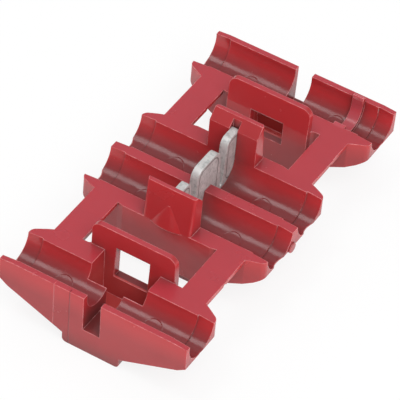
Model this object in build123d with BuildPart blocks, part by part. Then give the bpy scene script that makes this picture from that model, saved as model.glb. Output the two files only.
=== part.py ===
"""Tap-splice wire connector, moulded open and flat: a base and two folding covers.

Millimetres. X runs along the wires, Y runs from the front cover to the rear cover, Z is up.
The origin is the middle of the connector on the surface that its three bosses rest on.
"""
import os
from math import radians, tan
from build123d import *

os.makedirs("parts", exist_ok=True)

# Hull, the boat shape that the base and both covers share
half_length = 9.95       # middle to each end, along the wires
rim_height = 6.3         # resting surface to the flat rims that meet when a cover is shut
boss_half = 3.05         # half the length of the boss under the middle
boss_height = 1.1        # how far the boss stands down from the keel
keel_toe = 0.85          # from the end back to where the keel turns up into the end face
keel_end_drop = 2.7      # rim to keel there
end_face_drop = 2.1      # rim to the foot of the end face
keel_round = 0.7
boss_round = 0.45
rim_toe = 1.3            # from the end back to where the flat rims stop and begin to dip
rim_dip = 0.12

# Folding line, and what faces what when a cover is shut over the base
fold_line = 9.65         # middle of the connector to the line each cover folds about

# Wire channels
base_channel_radius = 2.15
cover_channel_radius = 2.0
centre_wall = 1.14       # thickness of the wall between the base's two channels
flare_length = 1.65      # the channels widen by a small step near their ends
flare_step = 0.12
outer_wall = 0.6         # thickness at the rim of a cover's outer wall
outer_wall_rise = 0.5    # the outer wall stands above the rim, and shuts onto the centre wall
wall_draft = 1.5         # degrees that the cover's outer face leans in below the rim

# Outline of the base seen from above
base_side = 6.65         # middle to the side face beside the guide blocks
side_run_back = 0.65     # from a strap back to where that straight face ends
strap_root = 6.5         # side face at the inner edge of a strap
strap_root_outer = 6.15  # side face at the outer edge of a strap
base_corner = 5.42       # side face at the very end
base_boss_side = 6.0     # side of the boss, which is narrower than the hull here

# Outline of a cover seen from above
cover_inner_side = 12.45
cover_inner_outer = 12.9  # the same face at the outer edge of a strap
cover_corner = 13.9       # the same face at the very end

# Straps, four flat living hinges
strap_margin = 1.8       # from the end back to a strap's far edge
strap_width = 2.8
strap_thick = 0.45
web_length = 0.7         # thinned stretch on the folding line
web_thick = 0.25
notch_round = 0.4

# Latch loop that stands on each cover beside the folding line
loop_to_strap = 0.9      # gap between a loop and a strap
loop_height = 2.8        # above the rims
loop_face = 12.4         # face towards the channel
loop_top_thick = 0.55
loop_foot_thick = 0.8
loop_round = 0.9
window_half = 1.8
window_top = 0.87        # above the rims
window_back_top = 0.05   # the same edge on the outer side, where the bar is thicker
window_bottom = 2.65     # below the rims

# Guide block on each side of the base, which a loop drops over
block_half = 2.6
block_lean = 0.45        # how far the outer face leans in from the rim to the top
block_height = 4.4
block_flat = 0.4         # width of the flat top
block_lead_foot = 3.4    # height above the rims where the lead-in starts
block_corner = 0.3
root_depth = 0.85        # blocks and loops start this far below the rims, inside their hulls

# Catch on the outer face of a block, half a cone with a flat underside
catch_tip_height = 2.4   # above the rims
catch_drop = 0.15        # underside, below the rims
catch_half = 1.7
catch_reach = 0.31       # how far it stands out at its underside
catch_taper = 12         # its tip is this many times smaller than its underside

# Pit, pads and slots that receive the block and the contact when a cover is shut
pit_end_room = 0.4       # beyond each end of the block
pit_draft = 3.0
pit_room = 0.5           # under the block's top
pad_inner_clear = 1.6    # from the block's inner face, shut, to the pad; the block swings in here
pad_half = 2.45
pad_drop = 0.35          # rims to the edges of a pad
pad_dish = 0.85          # a pad's top is hollow, to hold the wire
pad_lead = 0.2
slot_side_clear = 0.5    # between the contact and the side of a cover's slot
slot_end_clear = 0.25    # between the contact's top and the bottom of the slot

# Stop rib across the rear cover's channel, where a tapped wire ends
stop_back = 4.35         # from the end back to the rib's far side
stop_length = 1.2
stop_height = 0.4
stop_crest = 0.2         # stands above the outer wall, clear of the centre wall
stop_crest_clear = 0.08

# Contact, one stamped plate with two slots that are open upwards
contact_thick = 0.8
contact_height = 3.3     # above the rims
contact_depth = 4.5      # below the rims
contact_half = 5.55
contact_clear = 0.03     # to the slot in the base, at each side
lobe_half = 2.05
lobe_round = 1.0
slit_inner = 2.46        # near edge of a slit at its bottom
slit_width = 0.38
slit_depth = 1.7         # below the rims
mouth_outer = 3.15       # far edge of a slit at its mouth
mouth_height = 1.9
lead_in = 0.9
contact_corner = 0.35

edge_near = 0.01         # how near an edge lies to the place where it is looked for

keel_end = half_length - keel_toe
rim_end = half_length - rim_toe
flare_start = half_length - flare_length
strap_outer = half_length - strap_margin
strap_inner = strap_outer - strap_width
base_side_run = strap_inner - side_run_back
loop_half = strap_inner - loop_to_strap
loop_back = loop_face - loop_foot_thick
block_face = base_side
block_top_face = block_face - block_lean
pit_half = block_half + pit_end_room
stop_start = half_length - stop_back
base_channel_y = centre_wall / 2 + base_channel_radius
cover_channel_y = 2 * fold_line - base_channel_y
cover_outer = cover_channel_y + cover_channel_radius + outer_wall
contact_room = contact_thick / 2 + slot_side_clear
block_inner = base_channel_y + base_channel_radius
pit_end = 2 * fold_line - block_inner + pad_inner_clear
pit_middle = (loop_face + pit_end) / 2
pit_floor = block_height + pit_room
slot_floor = contact_height + slot_end_clear
far = 2 * cover_outer


def boat_profile():
    """Side view of the hull: a boss in the middle and a keel that rises to each end."""
    with BuildSketch(Plane.XZ) as profile:
        with BuildLine():
            Polyline(
                (0, 0),
                (boss_half, 0),
                (boss_half, boss_height),
                (keel_end, rim_height - keel_end_drop),
                (half_length, rim_height - end_face_drop),
                (half_length, rim_height - rim_dip),
                (rim_end, rim_height),
                (0, rim_height),
                close=True,
            )
        make_face()
        boss_corners = profile.vertices().group_by(Axis.Y)[0].sort_by(Axis.X)[-1:]
        fillet(boss_corners, boss_round)
        keel_corner = profile.vertices().sort_by_distance((keel_end, rim_height - keel_end_drop))[0]
        fillet(keel_corner, keel_round)
        mirror(about=Plane.YZ)
    return profile.sketch


def channel(y, radius):
    """Round channel right through a hull, with the small flare at each end."""
    with BuildPart() as cutter:
        with BuildSketch(Plane.YZ):
            with Locations((y, rim_height)):
                Circle(radius)
        extrude(amount=half_length, both=True)
        for end in (flare_start, -half_length):
            with BuildSketch(Plane.YZ.offset(end)):
                with Locations((y, rim_height)):
                    Circle(radius + flare_step)
            extrude(amount=half_length - flare_start)
    return cutter.part


def strap_halves(start, end):
    """Two flat straps between two lines across the connector, flush with the rims."""
    with BuildPart() as halves:
        with BuildSketch(Plane.XY.offset(rim_height - strap_thick)):
            for side in (1, -1):
                with Locations((side * (strap_inner + strap_outer) / 2, (start + end) / 2)):
                    Rectangle(strap_outer - strap_inner, end - start)
        extrude(amount=strap_thick)
    return halves.part


def block_with_catch():
    """Guide block on the rear side: leaning outer face, lead-in at the top, catch outside."""
    top = rim_height + block_height
    with BuildPart() as block:
        with BuildSketch(Plane.YZ):
            with BuildLine():
                Polyline(
                    (block_inner, rim_height - root_depth),
                    (block_inner, rim_height + block_lead_foot),
                    (block_top_face - block_flat, top),
                    (block_top_face, top),
                    (block_face, rim_height),
                    (block_face, rim_height - root_depth),
                    close=True,
                )
            make_face()
        extrude(amount=block_half, both=True)
        outer_corners = block.edges().filter_by(lambda e: abs(e.center().X) > block_half - edge_near)
        outer_corners = outer_corners.filter_by(
            lambda e: e.center().Y > block_top_face
            and e.center().Z > rim_height
            and e.length > block_height - edge_near
        )
        fillet(outer_corners, block_corner)

        lean = (block_face - block_top_face) / block_height
        tip_face = block_face - lean * catch_tip_height
        for height, half, reach, face in (
            (-catch_drop, catch_half, catch_reach, block_face),
            (catch_tip_height, catch_half / catch_taper, catch_reach / catch_taper, tip_face),
        ):
            with BuildSketch(Plane.XY.offset(rim_height + height)):
                with BuildLine():
                    ThreePointArc((-half, face), (0, face + reach), (half, face))
                    Polyline((half, face), (half, face - reach), (-half, face - reach), (-half, face))
                make_face()
        loft()

        # Pocket for the outer end of the contact, open upwards and towards the channel
        with BuildSketch(Plane.XY.offset(rim_height - root_depth)):
            with Locations((0, (block_inner + contact_half) / 2)):
                Rectangle(
                    contact_thick + 2 * contact_clear,
                    contact_half - block_inner + 2 * contact_clear,
                )
        extrude(amount=far, mode=Mode.SUBTRACT)
    return block.part


def base_outline():
    """Plan of the base with a soft corner at each end."""
    with BuildSketch() as outline:
        with BuildLine():
            Polyline(
                (0, 0),
                (half_length, 0),
                (half_length, base_corner),
                (strap_outer, strap_root_outer),
                (strap_inner, strap_root),
                (base_side_run, base_side),
                (0, base_side),
                close=True,
            )
        make_face()
        soft = outline.vertices().sort_by_distance((half_length, base_corner))[:1]
        fillet(soft, keel_round)
        mirror(about=Plane.YZ)
        mirror(about=Plane.XZ)
    return outline.sketch


def cover_outline():
    """Plan of the rear cover, with the foot of its latch loop and round notches beside it."""
    with BuildSketch() as outline:
        with BuildLine():
            Polyline(
                (0, loop_back),
                (loop_half, loop_back),
                (loop_half, cover_inner_side),
                (strap_inner, cover_inner_side),
                (strap_outer, cover_inner_outer),
                (half_length, cover_corner),
                (half_length, cover_outer),
                (0, cover_outer),
                close=True,
            )
        make_face()
        corners = outline.vertices()
        fillet(corners.sort_by_distance((half_length, cover_corner))[:1], keel_round)
        notch = outline.vertices().sort_by_distance((loop_half, cover_inner_side))[:1]
        fillet(notch, notch_round)
        mirror(about=Plane.YZ)
    return outline.sketch


# Base, moulded with its guide blocks, catches and the near halves of the straps
with BuildPart() as base:
    extrude(boat_profile(), amount=far, both=True)
    extrude(base_outline(), amount=rim_height, mode=Mode.INTERSECT)
    with BuildSketch():
        for side in (1, -1):
            with Locations((0, side * (base_boss_side + far) / 2)):
                Rectangle(2 * half_length, far - base_boss_side)
    extrude(amount=boss_height, mode=Mode.SUBTRACT)
    for side in (1, -1):
        add(channel(side * base_channel_y, base_channel_radius), mode=Mode.SUBTRACT)
    rear_block = block_with_catch()
    add(rear_block)
    add(rear_block.mirror(Plane.XZ))
    rear_straps = strap_halves(base_corner, fold_line - web_length / 2)
    rear_straps -= channel(base_channel_y, base_channel_radius)
    add(rear_straps)
    add(rear_straps.mirror(Plane.XZ))
    with BuildSketch(Plane.XY.offset(rim_height - contact_depth)):
        Rectangle(contact_thick + 2 * contact_clear, 2 * (contact_half + contact_clear))
    extrude(amount=contact_depth + contact_height, mode=Mode.SUBTRACT)


# Cover as it stands at the rear, without the stop rib
with BuildPart() as cover_blank:
    extrude(boat_profile(), amount=far, both=True)
    extrude(cover_outline(), amount=rim_height, mode=Mode.INTERSECT)

    # The outer wall stands above the rim, with the same dip at its ends
    with BuildSketch(Plane.XZ.offset(outer_wall - cover_outer)):
        with BuildLine():
            Polyline(
                (-half_length, rim_height - rim_dip),
                (-half_length, rim_height + outer_wall_rise - rim_dip),
                (-rim_end, rim_height + outer_wall_rise),
                (rim_end, rim_height + outer_wall_rise),
                (half_length, rim_height + outer_wall_rise - rim_dip),
                (half_length, rim_height - rim_dip),
                close=True,
            )
        make_face()
    extrude(amount=-outer_wall)

    # The outer face leans in below the rim
    lean_in = rim_height * tan(radians(wall_draft))
    with BuildSketch(Plane.YZ):
        with BuildLine():
            Polyline((cover_outer, rim_height), (cover_outer, 0), (cover_outer - lean_in, 0), close=True)
        make_face()
    extrude(amount=far, both=True, mode=Mode.SUBTRACT)

    add(channel(cover_channel_y, cover_channel_radius), mode=Mode.SUBTRACT)

    # Pit that the guide block drops into
    with BuildSketch(Plane.XY.offset(rim_height)):
        with Locations((0, pit_middle)):
            Rectangle(2 * pit_half, pit_end - loop_face)
    extrude(amount=-pit_floor, taper=pit_draft, mode=Mode.SUBTRACT)

    # Pads that press the wires down, with a slot between them for the contact
    pad_edge = rim_height - pad_drop
    wall_face = cover_outer - outer_wall
    with BuildSketch(Plane.YZ):
        with BuildLine():
            Polyline(
                (pit_end, rim_height - pit_floor),
                (pit_end, pad_edge - pad_lead),
                (pit_end + pad_lead, pad_edge),
            )
            ThreePointArc(
                (pit_end + pad_lead, pad_edge),
                ((pit_end + pad_lead + wall_face) / 2, pad_edge - pad_dish),
                (wall_face, pad_edge),
            )
            Polyline(
                (wall_face, pad_edge),
                (wall_face, rim_height - pit_floor),
                (pit_end, rim_height - pit_floor),
            )
        make_face()
    extrude(amount=pad_half, both=True)
    with BuildSketch(Plane.XY.offset(rim_height - slot_floor)):
        with Locations((0, (pit_middle + far) / 2)):
            Rectangle(2 * contact_room, far - pit_middle)
    extrude(amount=slot_floor + outer_wall_rise, mode=Mode.SUBTRACT)

    # Latch loop
    loop_top = rim_height + loop_height
    with BuildSketch(Plane.YZ):
        with BuildLine():
            Polyline(
                (loop_face, rim_height - root_depth),
                (loop_face, loop_top),
                (loop_face - loop_top_thick, loop_top),
                (loop_back, rim_height),
                (loop_back, rim_height - root_depth),
                close=True,
            )
        make_face()
    extrude(amount=loop_half, both=True)
    top_corners = cover_blank.edges().filter_by(
        lambda e: abs(abs(e.center().X) - loop_half) < edge_near
        and abs(e.center().Z - loop_top) < edge_near
    )
    fillet(top_corners, loop_round)
    with BuildSketch(Plane.YZ):
        with BuildLine():
            Polyline(
                (pit_middle, rim_height - window_bottom),
                (pit_middle, rim_height + window_top),
                (loop_face, rim_height + window_top),
                (loop_back, rim_height + window_back_top),
                (loop_back, rim_height - window_bottom),
                close=True,
            )
        make_face()
    extrude(amount=window_half, both=True, mode=Mode.SUBTRACT)

    add(strap_halves(fold_line + web_length / 2, cover_inner_outer))


# Rear cover, with the rib that a tapped wire stops against
with BuildPart() as rear_cover:
    add(cover_blank.part)
    rib_bore = cover_channel_radius - stop_height
    crest_inner = cover_channel_y + rib_bore
    crest_outer = 2 * fold_line - centre_wall / 2 - stop_crest_clear
    crest_height = outer_wall_rise + stop_crest
    with BuildSketch(Plane.YZ.offset(stop_start)):
        with Locations((cover_channel_y, rim_height)):
            Circle(cover_channel_radius + stop_height / 2)
            Circle(rib_bore, mode=Mode.SUBTRACT)
        with Locations((cover_channel_y, rim_height + far / 2)):
            Rectangle(far, far, mode=Mode.SUBTRACT)
        with Locations(((crest_inner + crest_outer) / 2, rim_height + crest_height / 2)):
            Rectangle(crest_outer - crest_inner, crest_height)
    extrude(amount=stop_length)

# Front cover
with BuildPart() as front_cover:
    add(cover_blank.part.mirror(Plane.XZ))

# Thinned hinge webs on the folding lines, two to a side
with BuildPart() as rear_hinge_webs:
    with BuildSketch(Plane.XY.offset(rim_height - web_thick)):
        for side in (1, -1):
            with Locations((side * (strap_inner + strap_outer) / 2, fold_line)):
                Rectangle(strap_outer - strap_inner, web_length)
    extrude(amount=web_thick)

with BuildPart() as front_hinge_webs:
    add(rear_hinge_webs.part.mirror(Plane.XZ))


def contact_outline():
    """Face of the contact: one wide lobe, a slit on each side that opens to a mouth, two outer lobes."""
    top = rim_height + contact_height
    foot = rim_height - contact_depth
    slit_foot = rim_height - slit_depth
    slit_outer = slit_inner + slit_width
    with BuildSketch(Plane.YZ) as face:
        with BuildLine():
            Line((0, foot), (contact_half, foot))
            Line((contact_half, foot), (contact_half, top - contact_corner))
            RadiusArc((contact_half, top - contact_corner), (contact_half - contact_corner, top), -contact_corner)
            Line((contact_half - contact_corner, top), (mouth_outer + lead_in, top))
            Spline(
                (mouth_outer + lead_in, top),
                (mouth_outer, rim_height + mouth_height),
                tangents=((-1, 0), (0, -1)),
            )
            Line((mouth_outer, rim_height + mouth_height), (slit_outer, slit_foot))
            RadiusArc((slit_outer, slit_foot), (slit_inner, slit_foot), slit_width / 2)
            Line((slit_inner, slit_foot), (lobe_half, top - lobe_round))
            RadiusArc((lobe_half, top - lobe_round), (lobe_half - lobe_round, top), -lobe_round)
            Line((lobe_half - lobe_round, top), (0, top))
            Line((0, top), (0, foot))
        make_face()
        mirror(about=Plane.YZ)
    return face.sketch


# Stamped contact
with BuildPart() as contact:
    extrude(contact_outline(), amount=contact_thick / 2, both=True)

for name, piece in (
    ("base", base),
    ("front_cover", front_cover),
    ("rear_cover", rear_cover),
    ("front_hinge_webs", front_hinge_webs),
    ("rear_hinge_webs", rear_hinge_webs),
    ("contact", contact),
):
    piece.part.label = name
    export_step(piece.part, f"parts/{name}.step")
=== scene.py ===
"""Looks of the tap-splice wire connector: satin red plastic, a tinned contact, plain studio light.

Sizes are in millimetres and become metres where a mesh or a node takes them. X runs along the
wires, Y from the front cover to the rear cover, Z up from the plane that the bosses rest on.
"""

from math import cos, pi, radians, sin, sqrt

import bmesh
import bpy
from mathutils import Matrix, Vector
from mathutils.bvhtree import BVHTree
from mathutils.interpolate import poly_3d_calc


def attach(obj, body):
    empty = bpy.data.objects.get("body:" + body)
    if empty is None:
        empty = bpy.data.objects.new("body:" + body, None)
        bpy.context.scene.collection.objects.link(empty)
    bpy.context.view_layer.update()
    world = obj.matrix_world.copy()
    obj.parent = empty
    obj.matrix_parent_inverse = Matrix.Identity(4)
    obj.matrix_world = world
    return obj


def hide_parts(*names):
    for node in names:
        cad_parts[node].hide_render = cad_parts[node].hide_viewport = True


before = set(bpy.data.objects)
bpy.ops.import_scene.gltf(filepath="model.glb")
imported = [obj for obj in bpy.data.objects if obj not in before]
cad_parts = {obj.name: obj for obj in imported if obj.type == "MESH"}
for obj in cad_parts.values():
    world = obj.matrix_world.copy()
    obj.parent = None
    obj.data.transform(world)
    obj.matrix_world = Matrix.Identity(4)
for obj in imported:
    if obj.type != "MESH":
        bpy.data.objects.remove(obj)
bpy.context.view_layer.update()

MM = 0.001

# Forms of the CAD that the looks and the added pieces line up with
RIM = 6.3                # height of the flat rims
HALF_LENGTH = 9.95
FOLD_LINE = 9.65         # middle of the connector to the line each cover folds about
STRAPS = ((-8.15, -5.35), (5.35, 8.15))
STRAP_THICK = 0.45
WEB_HALF = 0.35          # half the length of a thinned hinge web
WEB_THICK = 0.25
BASE_CHANNELS = (-2.72, 2.72)
COVER_CHANNEL = 16.58
CHANNEL_RADIUS = 2.0     # of the covers' channels
FLARE_START = 8.3        # the channels widen by a small step from here to the ends
LOOP_FACE = 12.4         # near wall of a cover's pit
PIT_SIDE = 3.0
PIT_FLOOR = 1.4
PAD_FACE, PAD_HALF = 16.03, 2.45
SLOT_HALF, SLOT_DEPTH = 0.9, 3.55
LOBE_MIDDLE = RIM + 0.6  # height of the middle of the contact's lobes

# What the photo shows beyond the CAD
PIT_WALL = 15.2          # far wall of a cover's pit
FILL_HALF = 2.98         # half the width of what fills a pit up to that wall
FILL_DEPTH = 4.95        # the fill starts this far below the rims, inside the hull
FILL_LAP = 0.07          # and reaches this far into the pads
LAP = 0.02
BORE_LESS = 0.002        # the new channel is this much narrower than the CAD's
BORE_TOP = 0.3           # the tool that cuts it ends this far above the rims
EJECTOR_X, EJECTOR_RADIUS = 4.8, 0.95
EJECTOR_Z = (3.4, 3.8)   # the rings show above this, and not on the undersides
COINED_LINES = ((0, 1.68, 0.85), (4.35, 0.82, 0.5))  # lobe's middle in Y, half width, corners
COINED_HALF_HEIGHT = 2.35
RIB_X = (5.6, 6.8)       # the rear cover's stop rib
# Where the rib's painted highlight lies in Y, and the height in Z that it shows above
RIB_HIGHLIGHT_Y = (14.3, 18.75)
RIB_HIGHLIGHT_Z = (3.6, 4.2)  # the tint shows above this
SEAM_Y = (-18.7, -18.9)  # the seams show beyond this, on the front cover's outer wall
CREST = (                # section of the rib's crest, in Y and Z
    (18.2, RIM + 0.3),
    (18.2, RIM + 0.82),
    (18.32, RIM + 0.97),
    (18.5, RIM + 0.97),
    (18.65, RIM + 0.85),
    (18.65, RIM + 0.3),
)
GATE_Y, GATE_Z = -0.38, RIM - 2.0
GATE_RINGS = ((-0.8, 0.60), (0.1, 0.56), (0.16, 0.49), (0.17, 0.22))  # past the end, radius
GATE_SIDES = 28

# Colours of the plastic, and of the light and shade painted on it
PIGMENT = ((0.36, 0.032, 0.036), (0.42, 0.038, 0.043))
FLOW_MARKS = (0.43, 0.036, 0.043)
LIGHT_THROUGH_WALL = (0.60, 0.040, 0.046)
TOP_SHEEN = (0.43, 0.040, 0.058)
CHANNEL_FLOOR_SHADE = (0.13, 0.024, 0.027)
HOLLOW_SHADE = (0.13, 0.040, 0.038)
PIT_LIGHT = (0.50, 0.068, 0.064)
RIB_HIGHLIGHT = (0.50, 0.085, 0.11)
LIT_EDGE = (0.88, 0.36, 0.37)
# The seams' colours: a painted highlight along the first seam, painted shade in the second
SEAM_HIGHLIGHT_AND_SHADE = ((-4.1, (0.75, 0.18, 0.19)), (-2.4, (0.14, 0.01, 0.012)))  # place in X, colour

# Colours of the contact, and of the light and shade painted on it
TIN = ((0.64, 0.625, 0.62), (0.82, 0.81, 0.80))
TIN_GRAIN = (0.30, 0.28, 0.28)
TIN_LINE_SHADE = (0.13, 0.11, 0.11)
TIN_EDGE_HIGHLIGHT = (0.80, 0.80, 0.78)
TIN_SPECKS = (0.30, 0.32, 0.31)

# Surroundings
WHITE = (1, 1, 1, 1)
FLOOR_GREY = (0.88, 0.88, 0.88, 1)
FLOOR_GLOW = 0.85        # share of the floor's white glow that the camera and reflections see
FLOOR_HALF = 3           # metres
ROOM_LIGHT = 0.55
ROOM_CHANGE = (("Is Camera Ray", 0.45), ("Is Glossy Ray", -0.33))

# Camera as fitted to the photograph, in degrees and millimetres
AZIMUTH, ELEVATION, ROLL = 27.471, 44.030, 5.697
DISTANCE, SHIFT_RIGHT, SHIFT_UP = 303.798, -0.3432, -1.3256
SENSOR, LENS = 36, 293.73


class Nodes:
    """A node tree, with short calls for the nodes that the looks share."""

    def __init__(self, tree):
        self.tree = tree

    def new(self, kind):
        return self.tree.nodes.new(kind)

    def link(self, output, socket):
        self.tree.links.new(output, socket)

    def feed(self, socket, value):
        if isinstance(value, bpy.types.NodeSocket):
            self.link(value, socket)
        else:
            socket.default_value = value

    def math(self, operation, a, b=0.0, c=0.0, clamp=False):
        node = self.new("ShaderNodeMath")
        node.operation = operation
        node.use_clamp = clamp
        for socket, value in zip(node.inputs, (a, b, c)):
            self.feed(socket, value)
        return node.outputs[0]

    def product(self, first, *others):
        for other in others:
            first = self.math("MULTIPLY", first, other)
        return first

    def absolute(self, value):
        return self.math("ABSOLUTE", value)

    def away(self, value, middle):
        """Distance of a coordinate in metres from a place in millimetres."""
        return self.absolute(self.math("SUBTRACT", value, middle * MM))

    def axes(self, vector):
        node = self.new("ShaderNodeSeparateXYZ")
        self.link(vector, node.inputs[0])
        return node.outputs

    def noise(self, scale, detail, rough=0.5, stretch=(1, 1, 1)):
        mapping = self.new("ShaderNodeMapping")
        mapping.inputs["Scale"].default_value = stretch
        self.link(self.coords.outputs["Object"], mapping.inputs["Vector"])
        node = self.new("ShaderNodeTexNoise")
        node.inputs["Scale"].default_value = scale
        node.inputs["Detail"].default_value = detail
        node.inputs["Roughness"].default_value = rough
        self.link(mapping.outputs[0], node.inputs["Vector"])
        return node.outputs["Fac"]

    def span(self, value, low, high, to_low=0.0, to_high=1.0, smooth=False):
        """A value between low and high, spread between to_low and to_high and held beyond."""
        node = self.new("ShaderNodeMapRange")
        node.interpolation_type = "SMOOTHSTEP" if smooth else "LINEAR"
        ends = {"From Min": low, "From Max": high, "To Min": to_low, "To Max": to_high}
        for key, number in ends.items():
            node.inputs[key].default_value = number
        self.link(value, node.inputs["Value"])
        return node.outputs[0]

    def fade(self, value, start, end):
        """0 up to the start and 1 from the end on, both in millimetres."""
        return self.span(value, start * MM, end * MM)

    def mix(self, factor, a, b):
        node = self.new("ShaderNodeMix")
        node.data_type = "RGBA"
        self.feed(node.inputs[0], factor)
        for socket, value in ((node.inputs[6], a), (node.inputs[7], b)):
            self.feed(socket, value if isinstance(value, bpy.types.NodeSocket) else (*value, 1.0))
        return node.outputs[2]

    def paint(self, under, mask, share, colour):
        """A share of a colour over what lies under, where the mask is 1."""
        return self.mix(self.math("MULTIPLY", mask, share), under, colour)

    def edges(self, radius):
        """1 near an edge and 0 on flat ground, the softened normal and the plain normal."""
        bevel = self.new("ShaderNodeBevel")
        bevel.samples = 6
        bevel.inputs["Radius"].default_value = radius * MM
        geometry = self.new("ShaderNodeNewGeometry")
        dot = self.new("ShaderNodeVectorMath")
        dot.operation = "DOT_PRODUCT"
        self.link(bevel.outputs[0], dot.inputs[0])
        self.link(geometry.outputs["Normal"], dot.inputs[1])
        near = self.span(dot.outputs["Value"], 0.995, 0.90)
        return near, bevel.outputs[0], geometry.outputs["Normal"]

    def blend_normals(self, factor, a, b):
        node = self.new("ShaderNodeMix")
        node.data_type = "VECTOR"
        self.feed(node.inputs[0], factor)
        self.link(a, node.inputs[4])
        self.link(b, node.inputs[5])
        return node.outputs[1]

    def bump(self, height, normal):
        """A normal bent by a height in millimetres."""
        node = self.new("ShaderNodeBump")
        node.inputs["Strength"].default_value = 1.0
        node.inputs["Distance"].default_value = MM
        self.link(height, node.inputs["Height"])
        self.link(normal, node.inputs["Normal"])
        return node.outputs[0]


class Finish(Nodes):
    """Nodes of a new material with the standard shader, and the coordinates its patterns use."""

    def __init__(self, name):
        self.material = bpy.data.materials.new(name)
        self.material.use_nodes = True
        super().__init__(self.material.node_tree)
        self.inputs = self.tree.nodes["Principled BSDF"].inputs
        self.coords = self.new("ShaderNodeTexCoord")


def from_circle(n, x, y, centre_x, centre_y, radius):
    """Signed distance in metres from a circle seen from above."""
    dx = n.math("SUBTRACT", x, centre_x * MM)
    dy = n.math("SUBTRACT", y, centre_y * MM)
    square = n.math("ADD", n.product(dx, dx), n.product(dy, dy))
    return n.math("SUBTRACT", n.math("SQRT", square), radius * MM)


def from_rounded_box(n, a, b, centre, half, radius):
    """Signed distance in metres from a rounded rectangle in the plane of a and b."""
    parts = []
    for value, middle, size in ((a, centre[0], half[0]), (b, centre[1], half[1])):
        parts.append(n.math("SUBTRACT", n.away(value, middle), (size - radius) * MM))
    outside = [n.math("MAXIMUM", part, 0.0) for part in parts]
    square = n.math("ADD", *(n.product(part, part) for part in outside))
    inside = n.math("MINIMUM", n.math("MAXIMUM", *parts), 0.0)
    distance = n.math("ADD", n.math("SQRT", square), inside)
    return n.math("SUBTRACT", distance, radius * MM)


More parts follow.
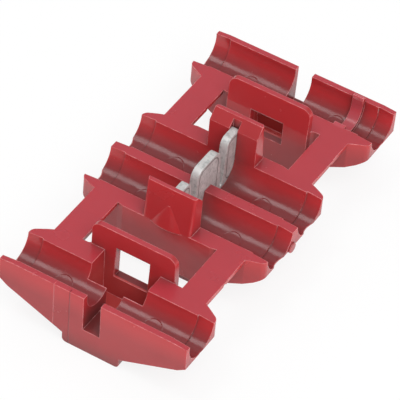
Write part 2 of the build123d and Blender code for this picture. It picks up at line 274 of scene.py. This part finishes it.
def red_plastic(name, ejector_channels, seams=(), rib=None):
    """Deep red moulded plastic, a little see-through, with painted light in its slim upright
    walls, a painted sheen on its flat tops, painted shade in its channels and hollows, painted
    light in its pits and light on its edges.

    The rings of the ejector pins lie in the channels at the given places in Y. The seams are pairs
    of a place in X and a colour: a pale one is a painted highlight along the seam, a deep one
    painted shade in it. The rib is its span in X.
    """
    n = Finish(name)
    x, y, z = n.axes(n.coords.outputs["Object"])
    off_x, off_y = n.absolute(x), n.absolute(y)
    normal_z = n.axes(n.coords.outputs["Normal"])[2]

    # Slow drift of the pigment
    body = n.mix(n.span(n.noise(160, 3), 0.35, 0.65), *PIGMENT)
    body = n.paint(body, n.noise(900, 2, stretch=(0.35, 1, 1)), 0.25, FLOW_MARKS)

    # Painted light: a clear red on the slim upright walls near the rims, where light comes
    # through, and a cooler red on the flat tops, a painted reflection of the room
    upright = n.span(n.absolute(normal_z), 0.75, 0.35)
    lit_through = n.product(upright, n.fade(z, RIM - 2.0, RIM - 0.3))
    body = n.paint(body, lit_through, 0.65, LIGHT_THROUGH_WALL)
    sheen_on_top = n.product(n.span(normal_z, 0.93, 0.99), n.fade(z, RIM - 0.35, RIM - 0.2))
    body = n.paint(body, sheen_on_top, 0.7, TOP_SHEEN)

    # Painted shade on the channels' floors, where the plastic is thick, and in hollows found by
    # occlusion; painted light in the pits, where light comes through
    floor = n.product(
        n.span(normal_z, 0.25, 0.85),
        n.fade(z, RIM - 0.8, RIM - 2.0),
        n.fade(z, PIT_FLOOR + 0.8, PIT_FLOOR + 1.8),
    )
    body = n.paint(body, floor, 0.72, CHANNEL_FLOOR_SHADE)
    in_pit = n.product(
        n.fade(off_x, PIT_SIDE + 0.1, PIT_SIDE),
        n.fade(off_y, LOOP_FACE - 0.1, LOOP_FACE - 0.02),
        n.fade(off_y, PIT_WALL + 0.06, PIT_WALL + 0.01),
        n.fade(z, PIT_FLOOR - 0.25, PIT_FLOOR - 0.1),
        n.fade(z, RIM - 0.1, RIM - 2.1),
    )
    occlusion = n.new("ShaderNodeAmbientOcclusion")
    occlusion.samples = 6
    occlusion.inputs["Distance"].default_value = 3.2 * MM
    occlusion_shade = n.span(occlusion.outputs["AO"], 0.8, 0.3)
    occlusion_shade = n.product(occlusion_shade, n.math("SUBTRACT", 1.0, in_pit))
    body = n.paint(body, occlusion_shade, 0.85, HOLLOW_SHADE)
    body = n.paint(body, in_pit, 0.9, PIT_LIGHT)

    # Painted highlight on the rear cover's stop rib
    if rib:
        length = rib[1] - rib[0]
        on_rib = n.product(
            n.fade(n.away(x, sum(rib) / 2), length / 2, length / 2.4),
            n.fade(y, RIB_HIGHLIGHT_Y[0], RIB_HIGHLIGHT_Y[0] + 0.3),
            n.fade(y, RIB_HIGHLIGHT_Y[1], RIB_HIGHLIGHT_Y[1] - 0.1),
            n.fade(z, *RIB_HIGHLIGHT_Z),
        )
        body = n.paint(body, on_rib, 0.6, RIB_HIGHLIGHT)

    # Light on the edges, broken by noise and kept off the folding line and the flare's step
    edge, soft_normal, plain_normal = n.edges(0.11)
    edge = n.product(edge, n.span(n.noise(1300, 2), 0.35, 0.6, 0.25, 1.0))
    off_fold = n.fade(n.away(off_y, FOLD_LINE), WEB_HALF + 0.1, WEB_HALF + 0.2)
    on_step = n.product(
        n.fade(n.away(off_x, FLARE_START), 0.28, 0.2),
        n.fade(z, RIM - 0.15, RIM - 0.3),
    )
    edge = n.product(edge, n.math("SUBTRACT", off_fold, on_step, clamp=True))
    body = n.paint(body, edge, 0.75, LIT_EDGE)
    soft_normal = n.blend_normals(off_fold, plain_normal, soft_normal)

    # Fine and wide unevenness, rings of the ejector pins, and seams; heights in millimetres
    height = n.math("MULTIPLY", n.noise(5200, 3, 0.6), 0.004)
    height = n.math("ADD", height, n.math("MULTIPLY", n.noise(380, 2), 0.07))
    for channel_y in ejector_channels:
        for centre_x in (-EJECTOR_X, EJECTOR_X):
            from_ring = from_circle(n, x, y, centre_x, channel_y, EJECTOR_RADIUS)
            sunk = n.span(from_ring, -0.04 * MM, 0.04 * MM, -0.035, 0.0)
            height = n.math("ADD", height, n.product(sunk, n.fade(z, *EJECTOR_Z)))
    # Each seam gets a groove, and its colour paints a highlight or shade along it
    for seam_x, shade in seams:
        off_seam = n.away(x, seam_x)
        on_wall = n.fade(y, *SEAM_Y)
        body = n.paint(body, n.product(n.fade(off_seam, 0.07, 0.03), on_wall), 0.5, shade)
        groove = n.product(n.fade(off_seam, 0.07, 0.0), on_wall)
        height = n.math("SUBTRACT", height, n.math("MULTIPLY", groove, 0.035))

    n.link(body, n.inputs["Base Color"])
    n.link(n.span(n.noise(420, 4), 0.3, 0.7, 0.17, 0.28), n.inputs["Roughness"])
    n.link(n.bump(height, soft_normal), n.inputs["Normal"])
    n.inputs["IOR"].default_value = 1.5
    n.inputs["Subsurface Weight"].default_value = 0.22
    n.inputs["Subsurface Radius"].default_value = (1.0, 0.22, 0.18)
    n.inputs["Subsurface Scale"].default_value = 0.7 * MM
    return n.material


def tinned_metal(name):
    """Dull tin on a stamped plate: cloudy grey, a coined line in each lobe with painted shade
    along it, and painted highlights on the edges.
    """
    n = Finish(name)
    _, y, z = n.axes(n.coords.outputs["Object"])
    cloud = n.noise(700, 4, 0.6)
    grain = n.noise(6000, 3, 0.65, stretch=(1, 1, 0.25))
    metal = n.mix(n.span(cloud, 0.35, 0.65), *TIN)
    metal = n.paint(metal, grain, 0.35, TIN_GRAIN)

    lines = []
    off_y = n.absolute(y)
    for lobe_y, half_width, radius in COINED_LINES:
        centre, half = (lobe_y, LOBE_MIDDLE), (half_width, COINED_HALF_HEIGHT)
        from_line = n.absolute(from_rounded_box(n, off_y, z, centre, half, radius))
        lines.append(n.span(from_line, 0.085 * MM, 0.02 * MM, smooth=True))
    line = n.math("MAXIMUM", *lines)
    # Painted shade along the coined lines
    metal = n.paint(metal, line, 0.85, TIN_LINE_SHADE)

    # Painted highlights on the edges
    edge, soft_normal, _ = n.edges(0.14)
    metal = n.paint(metal, edge, 0.6, TIN_EDGE_HIGHLIGHT)
    metal = n.paint(metal, n.span(n.noise(2600, 2), 0.52, 0.62), 0.4, TIN_SPECKS)
    height = n.math("SUBTRACT", n.math("MULTIPLY", grain, 0.012), n.math("MULTIPLY", line, 0.05))

    n.link(metal, n.inputs["Base Color"])
    n.link(n.span(cloud, 0.3, 0.7, 0.48, 0.62), n.inputs["Roughness"])
    n.link(n.bump(height, soft_normal), n.inputs["Normal"])
    n.inputs["Metallic"].default_value = 0.4
    return n.material


base_plastic = red_plastic("red_plastic_base", BASE_CHANNELS)
rear_plastic = red_plastic("red_plastic_rear", (COVER_CHANNEL,), rib=RIB_X)
front_plastic = red_plastic("red_plastic_front", (-COVER_CHANNEL,), seams=SEAM_HIGHLIGHT_AND_SHADE)

for node, material in (
    ("base", base_plastic),
    ("front_cover", front_plastic),
    ("rear_cover", rear_plastic),
    ("front_hinge_webs", front_plastic),
    ("rear_hinge_webs", rear_plastic),
    ("contact", tinned_metal("tinned_contact")),
):
    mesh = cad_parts[node].data
    mesh.materials.clear()
    mesh.materials.append(material)


def mesh_object(name, verts, faces, material):
    """New object from points in millimetres, with its faces turned outwards."""
    mesh = bpy.data.meshes.new(name)
    mesh.from_pydata([Vector(v) * MM for v in verts], [], faces)
    mesh.update()
    made = bmesh.new()
    made.from_mesh(mesh)
    bmesh.ops.recalc_face_normals(made, faces=made.faces)
    made.to_mesh(mesh)
    made.free()
    mesh.materials.append(material)
    obj = bpy.data.objects.new(name, mesh)
    bpy.context.scene.collection.objects.link(obj)
    return obj


def bar_faces(first, count):
    """Faces of a closed bar between two sections of so many points each."""
    faces = [
        tuple(range(first, first + count)),
        tuple(range(first + 2 * count - 1, first + count - 1, -1)),
    ]
    for k in range(count):
        a, b = first + k, first + (k + 1) % count
        faces.append((a, b, b + count, a + count))
    return faces


def bar(name, x_span, section, material):
    """Closed bar along X with a given section of (y, z) points."""
    verts = [(x, y, z) for x in x_span for y, z in section]
    return mesh_object(name, verts, bar_faces(0, len(section)), material)


def channel_arc(side, radius, start, end, steps):
    """Points of a cover's channel, below the rims, between two distances from the middle."""
    points = []
    for k in range(steps + 1):
        y = start + (end - start) * k / steps
        points.append((side * y, RIM - sqrt(max(radius ** 2 - (y - COVER_CHANNEL) ** 2, 0.0))))
    return points


def keep_normals(made, source):
    """Shade the cut mesh as the CAD mesh is shaded, and the new stretch of channel as round."""
    tree = BVHTree.FromPolygons(
        [v.co for v in source.vertices], [tuple(p.vertices) for p in source.polygons]
    )
    normals = [None] * len(made.loops)
    for polygon in made.polygons:
        middle = polygon.center / MM
        side = 1 if middle.y > 0 else -1
        radial = Vector((0, middle.y - side * COVER_CHANNEL, middle.z - RIM))
        beside_slot = (
            abs(middle.x) < FILL_HALF
            and PIT_WALL - LAP < abs(middle.y) < COVER_CHANNEL + CHANNEL_RADIUS
            and RIM - CHANNEL_RADIUS - 0.1 < middle.z < RIM
        )
        on_channel = (
            abs(radial.length - CHANNEL_RADIUS) < LAP
            and abs(polygon.normal.dot(radial.normalized())) > 0.95
        )
        for loop in polygon.loop_indices:
            point = made.vertices[made.loops[loop].vertex_index].co
            if beside_slot and on_channel:
                centre = Vector((point.x, side * COVER_CHANNEL * MM, RIM * MM))
                normals[loop] = (centre - point).normalized()
                continue

            # A point a little inside the face finds the CAD face that it comes from
            place, _, index, _ = tree.find_nearest(point.lerp(polygon.center, 0.02))
            face = source.polygons[index]
            if beside_slot or face.normal.dot(polygon.normal) < 0.9:
                normals[loop] = polygon.normal.copy()
                continue
            weights = poly_3d_calc([source.vertices[v].co for v in face.vertices], place)
            normal = Vector()
            for weight, corner in zip(weights, face.loop_indices):
                normal += source.corner_normals[corner].vector * weight
            normals[loop] = normal.normalized()
    made.shade_smooth()
    made.normals_split_custom_set(normals)


def skin_tools(side, material, crest):
    """Bars that turn a cover's pads into plain channel and bring the pit's far wall nearer."""
    deep, sill = RIM - FILL_DEPTH, RIM - SLOT_DEPTH
    near, far = side * PIT_WALL, side * (PAD_FACE + FILL_LAP)
    floor = channel_arc(side, CHANNEL_RADIUS, PIT_WALL, PAD_FACE, 8)
    step = floor + [(far, floor[-1][1] - 0.2), (far, deep), (near, deep)]
    sill_section = [(near, deep), (near, sill), (far, sill), (far, deep)]

    radius = CHANNEL_RADIUS - BORE_LESS
    inner, outer = COVER_CHANNEL - radius, COVER_CHANNEL + radius
    bore = channel_arc(side, radius, inner, outer, 48)
    bore += [(side * outer, RIM + BORE_TOP), (side * inner, RIM + BORE_TOP)]

    sill_half, bore_half = SLOT_HALF + 0.1, PAD_HALF + LAP
    tools = [
        ("UNION", bar("step", (-FILL_HALF, -SLOT_HALF), step, material)),
        ("UNION", bar("step", (SLOT_HALF, FILL_HALF), step, material)),
        ("UNION", bar("sill", (-sill_half, sill_half), sill_section, material)),
        ("DIFFERENCE", bar("bore", (-bore_half, bore_half), bore, material)),
    ]
    if crest:
        tools.append(("UNION", bar("crest", RIB_X, CREST, material)))
    return tools


def cover_skin(where, side, material, crest):
    """The cover as the photo shows it: its channel runs on to the slot, with no raised pads."""
    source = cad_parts[f"{where}_cover"]
    skin = bpy.data.objects.new(f"{where}_cover_skin", source.data.copy())
    skin.matrix_world = source.matrix_world.copy()
    bpy.context.scene.collection.objects.link(skin)
    welded = bmesh.new()
    welded.from_mesh(skin.data)
    bmesh.ops.remove_doubles(welded, verts=welded.verts, dist=0.0005 * MM)
    welded.to_mesh(skin.data)
    welded.free()

    tools = skin_tools(side, material, crest)
    for operation, tool in tools:
        cut = skin.modifiers.new(operation, "BOOLEAN")
        cut.operation = operation
        cut.solver = "EXACT"
        cut.object = tool
    bpy.context.view_layer.update()
    evaluated = skin.evaluated_get(bpy.context.evaluated_depsgraph_get())
    made = bpy.data.meshes.new_from_object(evaluated)
    skin.modifiers.clear()
    skin.data = made
    for _, tool in tools:
        bpy.data.objects.remove(tool)
    keep_normals(made, source.data)
    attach(skin, f"{where}_cover")
    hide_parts(f"{where}_cover")


def web_half(name, side, reach, material):
    """Half of both hinge webs of one side, thinning below towards the folding line.

    It lies beyond the line where reach is 1, and on the base's side of it where reach is -1.
    """
    steps = 10
    section = [(FOLD_LINE + reach * WEB_HALF, RIM), (FOLD_LINE, RIM)]
    for k in range(steps + 1):
        part = k / steps
        ease = 0.5 - 0.5 * cos(pi * part)
        thick = WEB_THICK + (STRAP_THICK - WEB_THICK) * ease
        section.append((FOLD_LINE + reach * WEB_HALF * part, RIM - thick))
    verts, faces = [], []
    for strap in STRAPS:
        faces += bar_faces(len(verts), len(section))
        verts += [(x, side * y, z) for x in strap for y, z in section]
    return mesh_object(name, verts, faces, material)


for where, side, material in (("front", -1, front_plastic), ("rear", 1, rear_plastic)):
    cover_skin(where, side, material, crest=where == "rear")
    near = web_half(f"{where}_web_near", side, -1, material)
    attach(near, "base")
    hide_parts(f"{where}_hinge_webs")
    far = web_half(f"{where}_web_far", side, 1, material)
    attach(far, f"{where}_cover")
    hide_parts(f"{where}_hinge_webs")


# Mark that the moulding gate leaves on the right end, between the channels
verts, faces = [], []
for past_end, radius in GATE_RINGS:
    for k in range(GATE_SIDES):
        angle = 2 * pi * k / GATE_SIDES
        y, z = GATE_Y + radius * cos(angle), GATE_Z + radius * sin(angle)
        verts.append((HALF_LENGTH + past_end, y, z))
for row in range(len(GATE_RINGS) - 1):
    for k in range(GATE_SIDES):
        a, b = row * GATE_SIDES + k, row * GATE_SIDES + (k + 1) % GATE_SIDES
        faces.append((a, b, b + GATE_SIDES, a + GATE_SIDES))
faces.append(tuple(range(len(verts) - GATE_SIDES, len(verts))))
faces.append(tuple(range(GATE_SIDES - 1, -1, -1)))
gate = mesh_object("gate_mark", verts, faces, base_plastic)
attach(gate, "base")


# Floor: the lamps' shadow on it stays, and the camera and reflections see it pale
floor_mesh = bpy.data.meshes.new("floor")
corners = [(a * FLOOR_HALF, b * FLOOR_HALF, 0) for a, b in ((-1, -1), (1, -1), (1, 1), (-1, 1))]
floor_mesh.from_pydata(corners, [], [(0, 1, 2, 3)])
floor = bpy.data.objects.new("floor", floor_mesh)
bpy.context.scene.collection.objects.link(floor)
floor_material = bpy.data.materials.new("pale_floor")
floor_material.use_nodes = True
floor_mesh.materials.append(floor_material)
n = Nodes(floor_material.node_tree)
n.tree.nodes.clear()
diffuse = n.new("ShaderNodeBsdfDiffuse")
diffuse.inputs["Color"].default_value = FLOOR_GREY
glow = n.new("ShaderNodeEmission")
glow.inputs["Color"].default_value = WHITE
path = n.new("ShaderNodeLightPath")
seen = n.math("MAXIMUM", path.outputs["Is Camera Ray"], path.outputs["Is Glossy Ray"])
blend = n.new("ShaderNodeMixShader")
n.link(n.math("MULTIPLY", seen, FLOOR_GLOW), blend.inputs[0])
n.link(diffuse.outputs[0], blend.inputs[1])
n.link(glow.outputs[0], blend.inputs[2])
n.link(blend.outputs[0], n.new("ShaderNodeOutputMaterial").inputs["Surface"])

# World: an even pale room, white where the camera sees it and dim in reflections
world = bpy.data.worlds.new("room")
bpy.context.scene.world = world
world.use_nodes = True
n = Nodes(world.node_tree)
n.tree.nodes.clear()
room = n.new("ShaderNodeBackground")
room.inputs["Color"].default_value = WHITE
path = n.new("ShaderNodeLightPath")
strength = ROOM_LIGHT
for ray, change in ROOM_CHANGE:
    strength = n.math("MULTIPLY_ADD", path.outputs[ray], change, strength)
n.link(strength, room.inputs["Strength"])
n.link(room.outputs[0], n.new("ShaderNodeOutputWorld").inputs["Surface"])


def towards(azimuth, elevation):
    """Unit vector from the connector, with azimuth 0 at the front."""
    az, el = radians(azimuth), radians(elevation)
    return Vector((sin(az) * cos(el), -cos(az) * cos(el), sin(el)))


def softbox(name, azimuth, elevation, distance, size, watts):
    """Square area lamp aimed at the connector, with its distance and size in metres."""
    data = bpy.data.lights.new(name, "AREA")
    data.shape = "SQUARE"
    data.size = size
    data.energy = watts
    lamp = bpy.data.objects.new(name, data)
    lamp.location = towards(azimuth, elevation) * distance
    lamp.rotation_euler = (-lamp.location).to_track_quat("-Z", "Y").to_euler()
    bpy.context.scene.collection.objects.link(lamp)


softbox("front", 55, 52, 0.50, 0.40, 1.55)
softbox("above", -70, 68, 0.50, 0.18, 0.36)
softbox("back", 200, 50, 0.55, 0.45, 0.20)
softbox("left", -95, 30, 0.60, 0.30, 0.35)

# The camera looks towards the middle of the rims' plane, from its distance and shifts
back = towards(AZIMUTH, ELEVATION)
level = Vector((cos(radians(AZIMUTH)), sin(radians(AZIMUTH)), 0))
upward = back.cross(level)
roll = radians(ROLL)
right = cos(roll) * level + sin(roll) * upward
up = -sin(roll) * level + cos(roll) * upward
place = back * DISTANCE + right * SHIFT_RIGHT + up * SHIFT_UP + Vector((0, 0, RIM))
camera_data = bpy.data.cameras.new("camera")
camera_data.sensor_fit = "HORIZONTAL"
camera_data.sensor_width = SENSOR
camera_data.lens = LENS
camera_data.clip_start = 0.01
camera = bpy.data.objects.new("camera", camera_data)
turn = Matrix((right, up, back)).transposed().to_4x4()
camera.matrix_world = Matrix.Translation(place * MM) @ turn
bpy.context.scene.collection.objects.link(camera)
bpy.context.scene.camera = camera
bpy.context.scene.view_settings.view_transform = "Standard"
